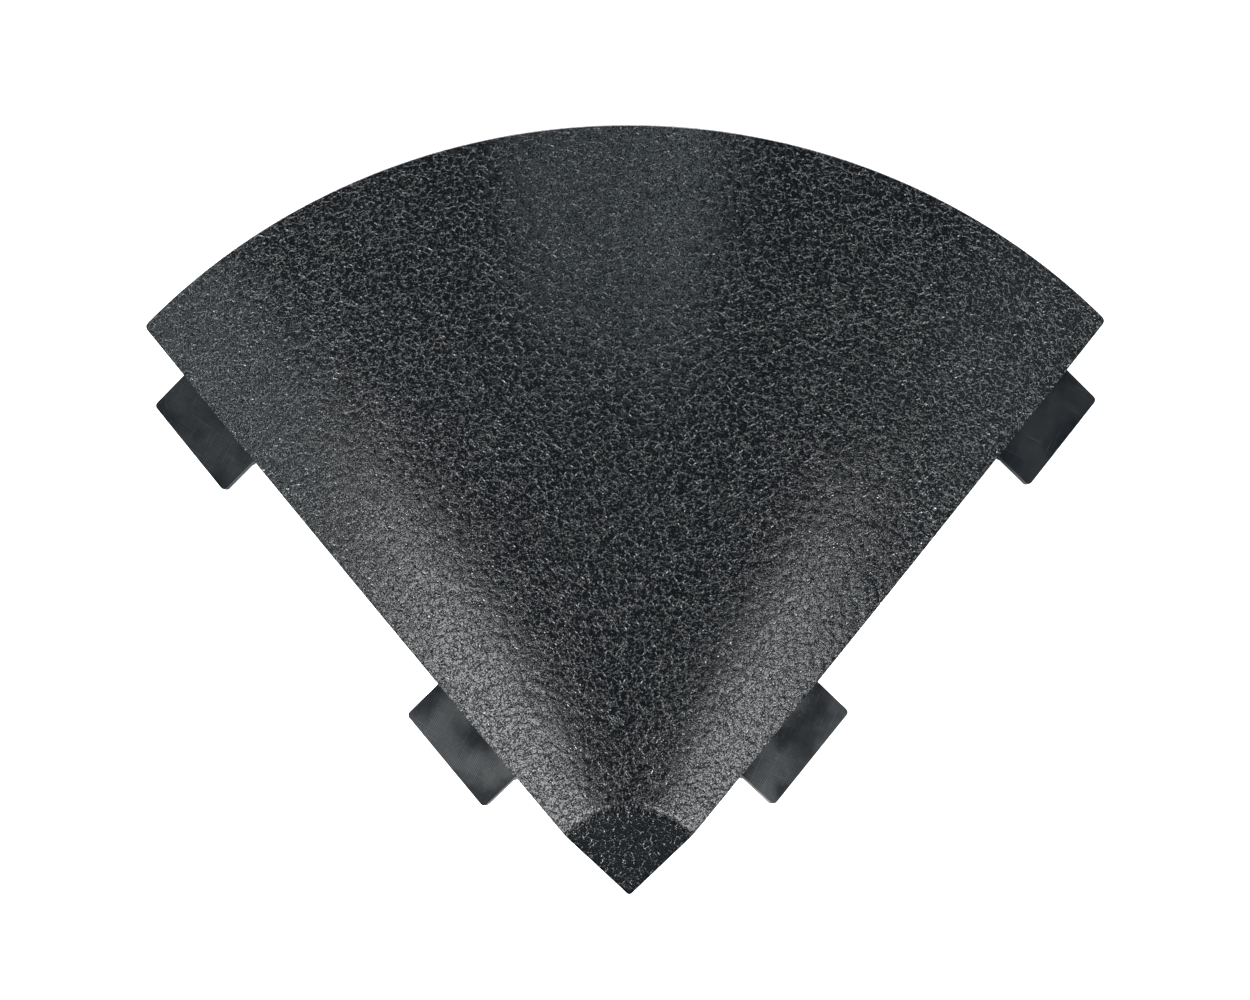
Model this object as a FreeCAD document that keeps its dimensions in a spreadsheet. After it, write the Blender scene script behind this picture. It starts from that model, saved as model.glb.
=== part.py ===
import FreeCAD, Part
import math
import os

import Sketcher

# Corner section of a modular vehicle ramp: a quarter-round mound, formed in textured plastic sheet,
# that turns a straight run of ramp round an outside corner.
#
# Frame: the origin is on the floor under the right-angled corner (the apex). +Z is up, and +Y runs
# along the bisector from the apex to the middle of the curved toe. The two straight edges run from
# the apex 45 degrees either side of +Y. Lengths are in millimetres, angles in degrees.

DRIVING_SIZES = [
    # the mound that the skin follows
    ("ramp_radius", 304.8),          # apex to toe, in plan
    ("ramp_rise", 152.4),            # floor to the landing's top
    ("toe_height", 3.0),             # upright rim left at the toe
    ("landing_flat", 34.4),          # radius of the flat landing round the apex
    ("bend_radius", 15.0),           # bend between the landing and the slope
    ("crown_radius", 5000.0),        # slight outward bow of the slope, toe to landing
    ("skin_thickness", 4.0),
    ("outer_corner_round", 2.0),
    ("apex_round", 1.3),
    # sheet-cut ribs under the skin
    ("rib_thickness", 6.0),
    ("side_rib_inset", 3.0),         # straight edge of the skin to the side rib's outer face
    ("rib_spread", 22.5),            # angle between the centre rib and each diagonal rib
    ("diagonal_rib_lead", 25.0),     # how far a diagonal rib runs inside the inner arc rib
    ("glue_line", 0.1),              # cement between faces that are bonded together
    ("lap_clearance", 0.25),         # each side of a half-lap slot
    # rubber under the ribs
    ("foot_height", 3.0),            # rubber between a rib's lower edge and the floor
    ("foot_wall", 1.5),              # lips that grip a rib's two faces
    ("foot_lip", 5.0),               # how far the lips reach up the rib
    ("foot_fit", 0.05),              # each side of the rib between the lips
    ("toe_strip_width", 13.0),
    ("toe_strip_setback", 8.0),      # rim to the toe strip's outer face
    # post under the landing
    ("post_diameter", 16.0),
    ("post_wall", 2.5),
    ("plug_depth", 12.0),
    ("plug_fit", 0.1),               # radial
    # joining tabs, two on each straight edge
    ("tab_length", 53.6),            # along the slope
    ("tab_reach", 20.6),             # past the skin's straight edge
    ("tab_tongue", 24.0),            # under the skin
    ("tab_thickness", 3.0),
    ("tab_corner_round", 2.0),
    ("tab_drop", 0.3),               # underside of the skin down to the tab's land
    ("tab_shadow_gap", 0.3),         # skin's edge to the start of the land
    ("upper_tab_place", 92.7),       # apex to the tab's middle, in plan
    ("lower_tab_setback", 48.0),     # toe to the tab's middle, in plan
    ("bond_minimum", 0.4),           # thinnest place of the adhesive over a tongue
    ("bond_margin", 1.5),            # adhesive kept back from the tongue's sides
    ("notch_clearance", 0.5),        # side rib's notch round a tongue, and air between other pieces
]

BELOW_FLOOR = 20.0                   # how far the mound's construction runs on under the floor
EDGE_ANGLE = 45.0                    # each straight edge from +Y
UP = FreeCAD.Vector(0, 0, 1)

document = FreeCAD.newDocument("corner_ramp")


def make_sheet():
    """Driving sizes, one row each, with the size's name as the alias of its cell."""
    sheet = document.addObject("Spreadsheet::Sheet", "sizes")
    for row, (alias, value) in enumerate(DRIVING_SIZES, start=1):
        sheet.set(f"A{row}", alias)
        sheet.set(f"B{row}", str(value))
        sheet.setAlias(f"B{row}", alias)
    document.recompute()
    return sheet


SHEET = make_sheet()


def size(alias):
    """Value of one driving size, read from the sheet."""
    return float(SHEET.get(alias))


def bind(thing, **expressions):
    """Bind properties of an object to expressions on the sheet."""
    for name, expression in expressions.items():
        thing.setExpression(name, expression)
    return thing


# --- the slope's geometry, worked out from the driving sizes -------------------------------------

def bend_centre():
    """Centre of the bend at the landing, as (radius, height)."""
    return size("landing_flat"), size("ramp_rise") - size("bend_radius")


def crown_centre():
    """Centre of the slope's large arc, which passes the toe's rim and is tangent to the bend."""
    bend_r, bend_z = bend_centre()
    toe_r, toe_z = size("ramp_radius"), size("toe_height")
    from_bend = size("crown_radius") - size("bend_radius")
    from_toe = size("crown_radius")
    apart = math.hypot(toe_r - bend_r, toe_z - bend_z)
    along_r, along_z = (toe_r - bend_r) / apart, (toe_z - bend_z) / apart
    along = (from_bend ** 2 - from_toe ** 2 + apart ** 2) / (2 * apart)
    across = math.sqrt(from_bend ** 2 - along ** 2)
    return (bend_r + along_r * along + along_z * across,
            bend_z + along_z * along - along_r * across)


def slope_height(radius, depth=0.0):
    """Height of the slope, sunk by depth along its normal, at a plan radius."""
    centre_r, centre_z = crown_centre()
    return centre_z + math.sqrt((size("crown_radius") - depth) ** 2 - (radius - centre_r) ** 2)


def slope_angle(radius):
    """Steepness of the slope at a plan radius, in radians below the horizontal."""
    centre_r, _ = crown_centre()
    return math.asin((radius - centre_r) / size("crown_radius"))


# --- small helpers for Part objects --------------------------------------------------------------

def turned(angle, x=0.0, y=0.0, z=0.0):
    """Placement turned about Z, then moved by a vector in its own turned axes."""
    rotation = FreeCAD.Rotation(UP, angle)
    return FreeCAD.Placement(rotation.multVec(FreeCAD.Vector(x, y, z)), rotation)


def block(name, length, width, height, placement):
    """Box with its three sizes bound to expressions."""
    made = document.addObject("Part::Box", name)
    bind(made, Length=length, Width=width, Height=height)
    made.Placement = placement
    return made


def round_bar(name, radius, height, placement=None):
    """Upright cylinder with its two sizes bound to expressions."""
    made = document.addObject("Part::Cylinder", name)
    bind(made, Radius=radius, Height=height)
    if placement:
        made.Placement = placement
    return made


def cut(name, base, *tools):
    """Base with each tool taken away."""
    for number, tool in enumerate(tools, start=1):
        made = document.addObject("Part::Cut", f"{name}_cut{number}")
        made.Base, made.Tool = base, tool
        base = made
    return base


def common(name, *pieces):
    """Space that all the pieces share."""
    base = pieces[0]
    for number, piece in enumerate(pieces[1:], start=1):
        made = document.addObject("Part::Common", f"{name}_common{number}")
        made.Base, made.Tool = base, piece
        base = made
    return base


def arc(centre, radius, start, end):
    """Arc in a sketch, anticlockwise between two angles in radians."""
    circle = Part.Circle(FreeCAD.Vector(centre[0], centre[1], 0), UP, radius)
    return Part.ArcOfCircle(circle, start, end)


def line(start, end):
    """Straight segment in a sketch."""
    return Part.LineSegment(FreeCAD.Vector(*start, 0), FreeCAD.Vector(*end, 0))


def constrain(sketch, *constraints):
    """Add plain constraints."""
    for constraint in constraints:
        sketch.addConstraint(Sketcher.Constraint(*constraint))


def drive(sketch, name, expression, *constraint):
    """Add a dimension and bind it to an expression."""
    index = sketch.addConstraint(Sketcher.Constraint(*constraint))
    sketch.renameConstraint(index, name)
    sketch.setExpression(f"Constraints.{name}", expression)


# --- the mound -----------------------------------------------------------------------------------

def mound(name, depth_expression, depth):
    """Solid of revolution under the slope, with its surface sunk by a depth along the normal.

    Its lines are: the axis, the landing, the bend, the slope's large arc and a base under the floor.
    """
    sketch = document.addObject("Sketcher::SketchObject", f"{name}_profile")
    sketch.Placement = FreeCAD.Placement(FreeCAD.Vector(), FreeCAD.Rotation(FreeCAD.Vector(1, 0, 0), 90))
    bend_c, crown_c = bend_centre(), crown_centre()
    bend_r, crown_r = size("bend_radius"), size("crown_radius")
    rise, flat = size("ramp_rise"), size("landing_flat")
    meet = math.atan2(bend_c[1] - crown_c[1], bend_c[0] - crown_c[0])
    toe = math.atan2(size("toe_height") - crown_c[1], size("ramp_radius") - crown_c[0])
    low = math.asin((-BELOW_FLOOR - crown_c[1]) / (crown_r - depth))
    low_r = crown_c[0] + (crown_r - depth) * math.cos(low)

    bend, crown = sketch.addGeometry(
        [arc(bend_c, bend_r, meet, math.pi / 2), arc(crown_c, crown_r, toe, meet)], True)
    axis, landing, sunk_bend, sunk_crown, base = sketch.addGeometry([
        line((0, -BELOW_FLOOR), (0, rise - depth)),
        line((0, rise - depth), (flat, rise - depth)),
        arc(bend_c, bend_r - depth, meet, math.pi / 2),
        arc(crown_c, crown_r - depth, low, meet),
        line((low_r, -BELOW_FLOOR), (0, -BELOW_FLOOR)),
    ], False)
    constrain(sketch,
              ("Tangent", bend, 1, crown, 2), ("Vertical", bend, 3, bend, 2),
              ("Coincident", axis, 2, landing, 1), ("Coincident", landing, 2, sunk_bend, 2),
              ("Tangent", sunk_bend, 1, sunk_crown, 2), ("Coincident", sunk_crown, 1, base, 1),
              ("Coincident", base, 2, axis, 1), ("PointOnObject", axis, 1, -2),
              ("Vertical", axis), ("Horizontal", landing), ("Horizontal", base),
              ("Coincident", sunk_bend, 3, bend, 3), ("Coincident", sunk_crown, 3, crown, 3),
              ("Vertical", sunk_bend, 3, sunk_bend, 2),
              ("DistanceY", axis, 1, -1, 1, BELOW_FLOOR))
    drive(sketch, "flat", "sizes.landing_flat", "DistanceX", -1, 1, bend, 3, flat)
    drive(sketch, "bend_level", "sizes.ramp_rise - sizes.bend_radius",
          "DistanceY", -1, 1, bend, 3, rise - bend_r)
    drive(sketch, "bend", "sizes.bend_radius", "Radius", bend, bend_r)
    drive(sketch, "crown", "sizes.crown_radius", "Radius", crown, crown_r)
    drive(sketch, "toe_radius", "sizes.ramp_radius", "DistanceX", -1, 1, crown, 1, size("ramp_radius"))
    drive(sketch, "toe_level", "sizes.toe_height", "DistanceY", -1, 1, crown, 1, size("toe_height"))
    drive(sketch, "sunk_bend", f"sizes.bend_radius - ({depth_expression})",
          "Radius", sunk_bend, bend_r - depth)

    made = document.addObject("Part::Revolution", name)
    made.Source = sketch
    made.Axis = UP
    made.Angle = 360.0
    made.Solid = True
    return made


def origin_plane(body, role):
    """One of a body's own three planes."""
    return next(feature for feature in body.Origin.OriginFeatures if feature.Role == role)


def add_sketch(body, name, role="XY_Plane"):
    """Empty sketch on one of a body's own planes."""
    sketch = body.newObject("Sketcher::SketchObject", name)
    sketch.AttachmentSupport = [(origin_plane(body, role), "")]
    sketch.MapMode = "FlatFace"
    return sketch


def upright_edges(shape, test):
    """Names of the straight vertical edges whose plan position passes a test."""
    names = []
    for number, edge in enumerate(shape.Edges, start=1):
        ends = [vertex.Point for vertex in edge.Vertexes]
        if len(ends) == 2 and (ends[0] - ends[1]).cross(UP).Length < 1e-6 and test(ends[0]):
            names.append(f"Edge{number}")
    return names


def plan_trim():
    """Upright prism with the skin's outline: a quarter circle with its three corners eased."""
    body = document.addObject("PartDesign::Body", "plan_trim")
    sketch = add_sketch(body, "plan_outline")
    radius = size("ramp_radius")
    reach = radius * math.cos(math.radians(EDGE_ANGLE))
    right, left, toe = sketch.addGeometry([
        line((0, 0), (reach, reach)),
        line((0, 0), (-reach, reach)),
        arc((0, 0), radius, math.radians(90 - EDGE_ANGLE), math.radians(90 + EDGE_ANGLE)),
    ], False)
    constrain(sketch,
              ("Coincident", right, 1, -1, 1), ("Coincident", left, 1, -1, 1),
              ("Coincident", toe, 3, -1, 1), ("Coincident", toe, 1, right, 2),
              ("Coincident", toe, 2, left, 2),
              ("Angle", -1, 1, right, 1, math.radians(90 - EDGE_ANGLE)),
              ("Angle", right, 1, left, 1, math.radians(2 * EDGE_ANGLE)))
    drive(sketch, "radius", "sizes.ramp_radius", "Radius", toe, radius)
    pad = body.newObject("PartDesign::Pad", "plan_prism")
    pad.Profile = sketch
    bind(pad, Length="sizes.ramp_rise + 1")
    document.recompute()

    ease_toe = body.newObject("PartDesign::Fillet", "outer_corners")
    ease_toe.Base = (pad, upright_edges(pad.Shape, lambda point: point.y > 1))
    bind(ease_toe, Radius="sizes.outer_corner_round")
    document.recompute()
    ease_apex = body.newObject("PartDesign::Fillet", "apex_corner")
    ease_apex.Base = (ease_toe, upright_edges(ease_toe.Shape, lambda point: point.y < 1))
    bind(ease_apex, Radius="sizes.apex_round")
    body.Tip = ease_apex
    document.recompute()
    return body


# Spaces that several pieces are cut to.
FACE = mound("slope_surface", "0", 0.0)
UNDERSIDE = mound("skin_underside", "sizes.skin_thickness", size("skin_thickness"))
UNDER_GLUE = mound("under_glue_line", "sizes.skin_thickness + sizes.glue_line",
                   size("skin_thickness") + size("glue_line"))

SUBPARTS = []


def subpart(node, thing):
    """Give a finished piece the name of its node."""
    thing.Label = node
    SUBPARTS.append(thing)
    return thing


# --- skin ----------------------------------------------------------------------------------------

def make_skin():
    """Formed sheet: flat landing, bend, slope and upright rim, trimmed to the quarter circle."""
    subpart("ramp_skin", common("skin", plan_trim(), cut("skin_shell", FACE, UNDERSIDE)))


# --- joining tabs --------------------------------------------------------------------------------

SIDES = {"left": 1, "right": -1}


class TabSeat:
    """Where a joining tab sits: its frame on the straight edge and the depth of its tongue.

    The frame's X runs along the slope, Y points out of the edge and Z is normal to the slope. Its
    origin is on the land, in the plane of the skin's straight edge, at the tab's middle.
    """

    def __init__(self, side, place):
        turn = SIDES[side] * EDGE_ANGLE
        edge = FreeCAD.Rotation(UP, turn).multVec(FreeCAD.Vector(0, 1, 0))
        outward = FreeCAD.Rotation(UP, turn).multVec(FreeCAD.Vector(-SIDES[side], 0, 0))
        tilt = slope_angle(place)
        self.normal = edge * math.sin(tilt) + UP * math.cos(tilt)
        along = outward.cross(self.normal)
        self.rotation = FreeCAD.Rotation(along, outward, self.normal, "ZXY")
        self.along, self.outward = along, outward
        drop = size("skin_thickness") + size("tab_drop")
        surface = edge * place + UP * slope_height(place)
        self.origin = surface - self.normal * drop
        self.tongue_step = self.find_tongue_step(math.cos(tilt))

    def find_tongue_step(self, level):
        """How far the tongue lies under the land, so that the curved skin clears it by the bond."""
        needed = []
        for end in (-1, 1):
            point = (self.origin + self.along * (end * size("tab_length") / 2)
                     - self.outward * size("tab_tongue"))
            radius = math.hypot(point.x, point.y)
            room = (slope_height(radius, size("skin_thickness")) - point.z) * level
            needed.append(size("bond_minimum") - room)
        return max(needed)

    def placement(self, x=0.0, y=0.0, z=0.0):
        """Placement in the tab's frame, moved by a vector in that frame."""
        offset = self.along * x + self.outward * y + self.normal * z
        return FreeCAD.Placement(self.origin + offset, self.rotation)


def tab_seats():
    """Seat of each of the four tabs, by the tab's name."""
    places = {"upper": size("upper_tab_place"), "lower": size("ramp_radius") - size("lower_tab_setback")}
    return {f"{side}_{level}": TabSeat(side, place) for side in SIDES for level, place in places.items()}


SEATS = tab_seats()


def stepped_outline(sketch, corners):
    """Closed outline of alternate horizontal and vertical sides, starting with a horizontal one.

    Each corner is (x, y, axis, expression): its place, and the one coordinate that it sets for the
    side that arrives there, "X" or "Y", driven by an expression or, with None, left at its value.
    """
    count = len(corners)
    places = [corner[:2] for corner in corners]
    sides = sketch.addGeometry([line(places[i], places[(i + 1) % count]) for i in range(count)], False)
    for number in range(count):
        constrain(sketch, ("Coincident", sides[number], 2, sides[(number + 1) % count], 1),
                  ("Horizontal" if number % 2 == 0 else "Vertical", sides[number]))
    for number, (x, y, axis, expression) in enumerate(corners):
        value = x if axis == "X" else y
        dimension = (f"Distance{axis}", -1, 1, sides[number], 1, value)
        if expression:
            drive(sketch, f"corner_{number}", expression, *dimension)
        else:
            constrain(sketch, dimension)


def make_tab(name, seat):
    """Joggled plate: a land outside the skin's edge and a lower tongue that is bonded under it."""
    thick, gap, step = size("tab_thickness"), size("tab_shadow_gap"), seat.tongue_step
    reach, tongue = size("tab_reach"), size("tab_tongue")
    body = document.addObject("PartDesign::Body", f"tab_{name}_body")
    section = add_sketch(body, f"tab_{name}_section", "YZ_Plane")
    web = "sizes.tab_shadow_gap + sizes.tab_thickness"
    stepped_outline(section, [
        (gap, 0, "Y", None),
        (reach, 0, "X", "sizes.tab_reach"),
        (reach, -thick, "Y", "-sizes.tab_thickness"),
        (gap + thick, -thick, "X", web),
        (gap + thick, -step - thick, "Y", f"-sizes.tab_thickness - {step}"),
        (-tongue, -step - thick, "X", "-sizes.tab_tongue"),
        (-tongue, -step, "Y", None),
        (gap, -step, "X", "sizes.tab_shadow_gap"),
    ])
    plate = body.newObject("PartDesign::Pad", f"tab_{name}_plate")
    plate.Profile = section
    plate.SideType = "Symmetric"
    bind(plate, Length="sizes.tab_length")
    document.recompute()

    ease = body.newObject("PartDesign::Fillet", f"tab_{name}_corners")
    ease.Base = (plate, upright_edges(
        plate.Shape, lambda point: abs(point.y - reach) < 0.01 or abs(point.y + tongue) < 0.01))
    bind(ease, Radius="sizes.tab_corner_round")
    body.Tip = ease
    body.Placement = seat.placement()
    document.recompute()
    subpart(f"tab_{name}", body)


def make_bond_pad(name, seat):
    """Structural adhesive that fills the space between a tongue and the curved skin over it."""
    margin = size("bond_margin")
    pad = block(f"bond_{name}", "sizes.tab_length - 2 * sizes.bond_margin",
                "sizes.tab_tongue - 2 * sizes.bond_margin", "2 * sizes.skin_thickness",
                seat.placement(x=-size("tab_length") / 2 + margin, y=-size("tab_tongue") + margin,
                               z=-seat.tongue_step))
    subpart(f"bond_pad_{name}", common(f"bond_pad_{name}", pad, UNDERSIDE))


# --- ribs ----------------------------------------------------------------------------------------

def arc_rib_radii():
    """Middles of the two arc ribs, spaced evenly between the upper and lower tabs' tongues."""
    half = size("tab_length") / 2
    start = math.hypot(size("upper_tab_place") + half, size("tab_tongue"))
    end = size("ramp_radius") - size("lower_tab_setback") - half
    return {"inner": start + (end - start) / 3, "outer": start + (end - start) * 2 / 3}


ARC_RIBS = arc_rib_radii()
RIB_END = ("sizes.ramp_radius - sizes.toe_strip_setback - sizes.toe_strip_width - sizes.glue_line")
POST_OFFSET = (size("side_rib_inset") + size("rib_thickness") + size("glue_line")
               + size("post_diameter") / 2)
POST_Y = POST_OFFSET * math.sqrt(2)


def rib_space():
    """Space for the ribs: under the skin, above the feet and inside the toe strip."""
    core = round_bar("rib_core", RIB_END, "sizes.ramp_rise",
                     FreeCAD.Placement(UP * size("foot_height"), FreeCAD.Rotation()))
    return common("rib_space", core, UNDER_GLUE)


RIB_SPACE = rib_space()
ARC_RIB_LIFT = size("foot_height") + size("foot_lip") + size("notch_clearance")


def lap_height(radius):
    """Height at which two crossing ribs share their half-lap."""
    depth = size("skin_thickness") + size("glue_line")
    return (ARC_RIB_LIFT + slope_height(radius, depth)) / 2


def notch(name, side, seat):
    """Space that a tongue takes through a side rib, open to the skin."""
    clearance = size("notch_clearance")
    depth = "sizes.tab_thickness + sizes.notch_clearance + sizes.skin_thickness"
    return block(name, "sizes.tab_length + 2 * sizes.notch_clearance",
                 "sizes.rib_thickness + 2 * sizes.side_rib_inset", f"{depth} + {seat.tongue_step}",
                 seat.placement(x=-size("tab_length") / 2 - clearance,
                                y=-size("rib_thickness") - 2 * size("side_rib_inset"),
                                z=-seat.tongue_step - size("tab_thickness") - clearance))


def make_side_rib(side):
    """Upright plate along a straight edge, notched for two tongues and mitred at the apex."""
    turn = SIDES[side] * EDGE_ANGLE
    inset, thick = size("side_rib_inset"), size("rib_thickness")
    near = inset if side == "left" else -inset - thick
    plate = block(f"side_plate_{side}", "sizes.rib_thickness", "sizes.ramp_radius", "sizes.ramp_rise",
                  turned(turn, x=near))
    half_x = -size("ramp_radius") if side == "left" else 0.0
    mitre = block(f"mitre_{side}", "sizes.ramp_radius", "sizes.ramp_radius", "sizes.ramp_rise",
                  FreeCAD.Placement(FreeCAD.Vector(half_x, 0, 0), FreeCAD.Rotation()))
    notches = [notch(f"notch_{side}_{level}", side, SEATS[f"{side}_{level}"]) for level in ("upper", "lower")]
    rib = cut(f"side_rib_{side}", common(f"side_rib_{side}", plate, mitre, RIB_SPACE), *notches)
    subpart(f"side_rib_{side}", rib)


def radial_plate(name, turn, start):
    """Upright plate that runs out from a plan radius along one direction."""
    return block(name, "sizes.rib_thickness", "sizes.ramp_radius", "sizes.ramp_rise",
                 turned(turn, x=-size("rib_thickness") / 2, y=start))


def lap_slot(name, turn, radius, upper):
    """Slot for a half-lap: in a radial rib from above, or in an arc rib from below."""
    thick, clear = size("rib_thickness"), size("lap_clearance")
    middle = lap_height(radius)
    if upper:
        sag = radius - math.sqrt(radius ** 2 - (thick / 2) ** 2)
        return block(name, "sizes.rib_thickness * 2", "sizes.rib_thickness + 2 * sizes.lap_clearance",
                     "sizes.ramp_rise", turned(turn, x=-thick, y=radius - thick / 2 - clear - sag / 2,
                                               z=middle - clear))
    return block(name, "sizes.rib_thickness + 2 * sizes.lap_clearance", "sizes.rib_thickness * 2",
                 "sizes.ramp_rise", turned(turn, x=-thick / 2 - clear, y=radius - thick,
                                           z=middle + clear - size("ramp_rise")))


def make_radial_rib(name, turn, start):
    """Radial plate, trimmed to the skin and slotted from above over both arc ribs."""
    slots = [lap_slot(f"{name}_slot_{arc_name}", turn, radius, upper=True)
             for arc_name, radius in ARC_RIBS.items()]
    subpart(name, cut(name, common(name, radial_plate(f"{name}_plate", turn, start), RIB_SPACE), *slots))


def make_arc_rib(arc_name, radius, turns):
    """Curved plate between the side ribs, slotted from below over the radial ribs.

    Its lower edge is lifted clear of the rubber feet.
    """
    name = f"arc_rib_{arc_name}"
    thick = size("rib_thickness")
    lifted = FreeCAD.Placement(UP * ARC_RIB_LIFT, FreeCAD.Rotation())
    rings = []
    for face, reach in (("outer", radius + thick / 2), ("inner", radius - thick / 2)):
        ring = document.addObject("Part::Cylinder", f"{name}_{face}")
        ring.Radius = reach
        bind(ring, Height="sizes.ramp_rise")
        ring.Placement = lifted
        rings.append(ring)
    corner = (size("side_rib_inset") + thick + size("glue_line")) * math.sqrt(2)
    bay = block(f"{name}_bay", "sizes.ramp_radius", "sizes.ramp_radius", "sizes.ramp_rise",
                FreeCAD.Placement(FreeCAD.Vector(0, corner, 0), FreeCAD.Rotation(UP, EDGE_ANGLE)))
    slots = [lap_slot(f"{name}_slot_{number}", turn, radius, upper=False)
             for number, turn in enumerate(turns, start=1)]
    ring = common(name, cut(f"{name}_ring", *rings), bay, RIB_SPACE)
    subpart(name, cut(name, ring, *slots))


# --- rubber feet and toe strip -------------------------------------------------------------------

def make_foot(name, turn, x_middle, start):
    """Rubber channel pushed on to a rib's lower edge."""
    thick, wall, fit = size("rib_thickness"), size("foot_wall"), size("foot_fit")
    half = thick / 2 + fit + wall
    outer = block(f"{name}_outer", "sizes.rib_thickness + 2 * (sizes.foot_fit + sizes.foot_wall)",
                  "sizes.ramp_radius", "sizes.foot_height + sizes.foot_lip",
                  turned(turn, x=x_middle - half, y=start))
    groove = block(f"{name}_groove", "sizes.rib_thickness + 2 * sizes.foot_fit",
                   "sizes.ramp_radius + 2", "sizes.ramp_rise",
                   turned(turn, x=x_middle - thick / 2 - fit, y=start - 1, z=size("foot_height")))
    end = round_bar(f"{name}_end", RIB_END, "sizes.ramp_rise")
    subpart(name, common(name, cut(f"{name}_channel", outer, groove), end, UNDER_GLUE))


def make_toe_strip():
    """Rubber wedge inside the toe, between the two straight edges, that fills under the skin."""
    outer = round_bar("toe_outer", "sizes.ramp_radius - sizes.toe_strip_setback", "sizes.ramp_rise")
    inner = round_bar("toe_inner", RIB_END + " + sizes.glue_line", "sizes.ramp_rise")
    corner = size("side_rib_inset") * math.sqrt(2)
    between = block("toe_between", "sizes.ramp_radius", "sizes.ramp_radius", "sizes.ramp_rise",
                    FreeCAD.Placement(FreeCAD.Vector(0, corner, 0), FreeCAD.Rotation(UP, EDGE_ANGLE)))
    subpart("toe_strip", common("toe_strip", cut("toe_ring", outer, inner), between, UNDER_GLUE))


# --- corner post ---------------------------------------------------------------------------------

def make_post():
    """Tube under the landing, in the corner between the side ribs."""
    body = document.addObject("PartDesign::Body", "corner_post_body")
    rings = add_sketch(body, "post_rings")
    outer_radius = size("post_diameter") / 2
    bore_radius = outer_radius - size("post_wall")
    outer, bore = rings.addGeometry([Part.Circle(FreeCAD.Vector(), UP, outer_radius),
                                     Part.Circle(FreeCAD.Vector(), UP, bore_radius)], False)
    constrain(rings, ("Coincident", outer, 3, -1, 1), ("Coincident", bore, 3, -1, 1))
    drive(rings, "outside", "sizes.post_diameter / 2", "Radius", outer, outer_radius)
    drive(rings, "bore", "sizes.post_diameter / 2 - sizes.post_wall", "Radius", bore, bore_radius)
    pad = body.newObject("PartDesign::Pad", "post_tube")
    pad.Profile = rings
    bind(pad, Length="sizes.ramp_rise - sizes.skin_thickness - sizes.glue_line - sizes.foot_height")
    body.Tip = pad
    body.Placement = FreeCAD.Placement(FreeCAD.Vector(0, POST_Y, size("foot_height")), FreeCAD.Rotation())
    subpart("corner_post", common("corner_post", body, UNDER_GLUE))


def make_post_foot():
    """Rubber foot for the post: a disc on the floor with a plug that fits the bore."""
    body = document.addObject("PartDesign::Body", "post_foot_body")
    half = add_sketch(body, "post_foot_half", "XZ_Plane")
    disc = size("post_diameter") / 2
    plug = disc - size("post_wall") - size("plug_fit")
    low, top = size("foot_height"), size("foot_height") + size("plug_depth")
    stepped_outline(half, [
        (0, 0, "Y", None),
        (disc, 0, "X", "sizes.post_diameter / 2"),
        (disc, low, "Y", "sizes.foot_height"),
        (plug, low, "X", "sizes.post_diameter / 2 - sizes.post_wall - sizes.plug_fit"),
        (plug, top, "Y", "sizes.foot_height + sizes.plug_depth"),
        (0, top, "X", None),
    ])
    turned_foot = body.newObject("PartDesign::Revolution", "post_foot_turned")
    turned_foot.Profile = half
    turned_foot.ReferenceAxis = (half, ["V_Axis"])
    turned_foot.Angle = 360.0
    body.Tip = turned_foot
    body.Placement = FreeCAD.Placement(FreeCAD.Vector(0, POST_Y, 0), FreeCAD.Rotation())
    subpart("post_foot", body)


# --- assembly ------------------------------------------------------------------------------------

def make_all():
    """Build every sub-part."""
    make_skin()
    for name, seat in SEATS.items():
        make_tab(name, seat)
        make_bond_pad(name, seat)

    spread = size("rib_spread")
    diagonal_start = ARC_RIBS["inner"] - size("diagonal_rib_lead")
    centre_start = POST_Y + size("post_diameter") / 2 + size("glue_line")
    for side in SIDES:
        make_side_rib(side)
    make_radial_rib("centre_rib", 0.0, centre_start)
    for side, sign in SIDES.items():
        make_radial_rib(f"diagonal_rib_{side}", sign * spread, diagonal_start)
    for arc_name, radius in ARC_RIBS.items():
        make_arc_rib(arc_name, radius, (-spread, 0.0, spread))

    rib_middle = size("side_rib_inset") + size("rib_thickness") / 2
    past_post = POST_OFFSET + size("post_diameter") / 2 + size("notch_clearance")
    for side, sign in SIDES.items():
        make_foot(f"side_foot_{side}", sign * EDGE_ANGLE, sign * rib_middle, past_post)
        make_foot(f"diagonal_foot_{side}", sign * spread, 0.0, diagonal_start)
    make_foot("centre_foot", 0.0, 0.0, centre_start)
    make_toe_strip()
    make_post()
    make_post_foot()


def check():
    """Stop if any object failed to compute or any sub-part is empty or invalid."""
    document.recompute()
    for thing in document.Objects:
        if "Invalid" in thing.State or "Error" in thing.State:
            raise RuntimeError(f"{thing.Name} did not compute: {thing.State}")
    for thing in SUBPARTS:
        if thing.Shape.isNull() or not thing.Shape.isValid() or thing.Shape.Volume <= 0:
            raise RuntimeError(f"{thing.Label} has no valid shape")


def export():
    """Write each sub-part to its own file."""
    os.makedirs("parts", exist_ok=True)
    for thing in SUBPARTS:
        thing.Shape.exportStep(f"parts/{thing.Label}.step")
        box = thing.Shape.BoundBox
        print(f"{thing.Label}: {len(thing.Shape.Solids)} solid(s), {thing.Shape.Volume:.0f} mm3, "
              f"{box.XLength:.1f} x {box.YLength:.1f} x {box.ZLength:.1f}")


make_all()
check()
export()
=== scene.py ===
"""Looks and studio for a quarter-round corner section of a modular vehicle ramp.

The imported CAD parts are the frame. The textured skin is modelled again here with its pebbled leather
grain as real relief. The joining tabs, ribs, rubber feet, adhesive and post stay as the CAD made them
and get their finishes. Lengths are in metres.
"""

from __future__ import annotations

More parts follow.
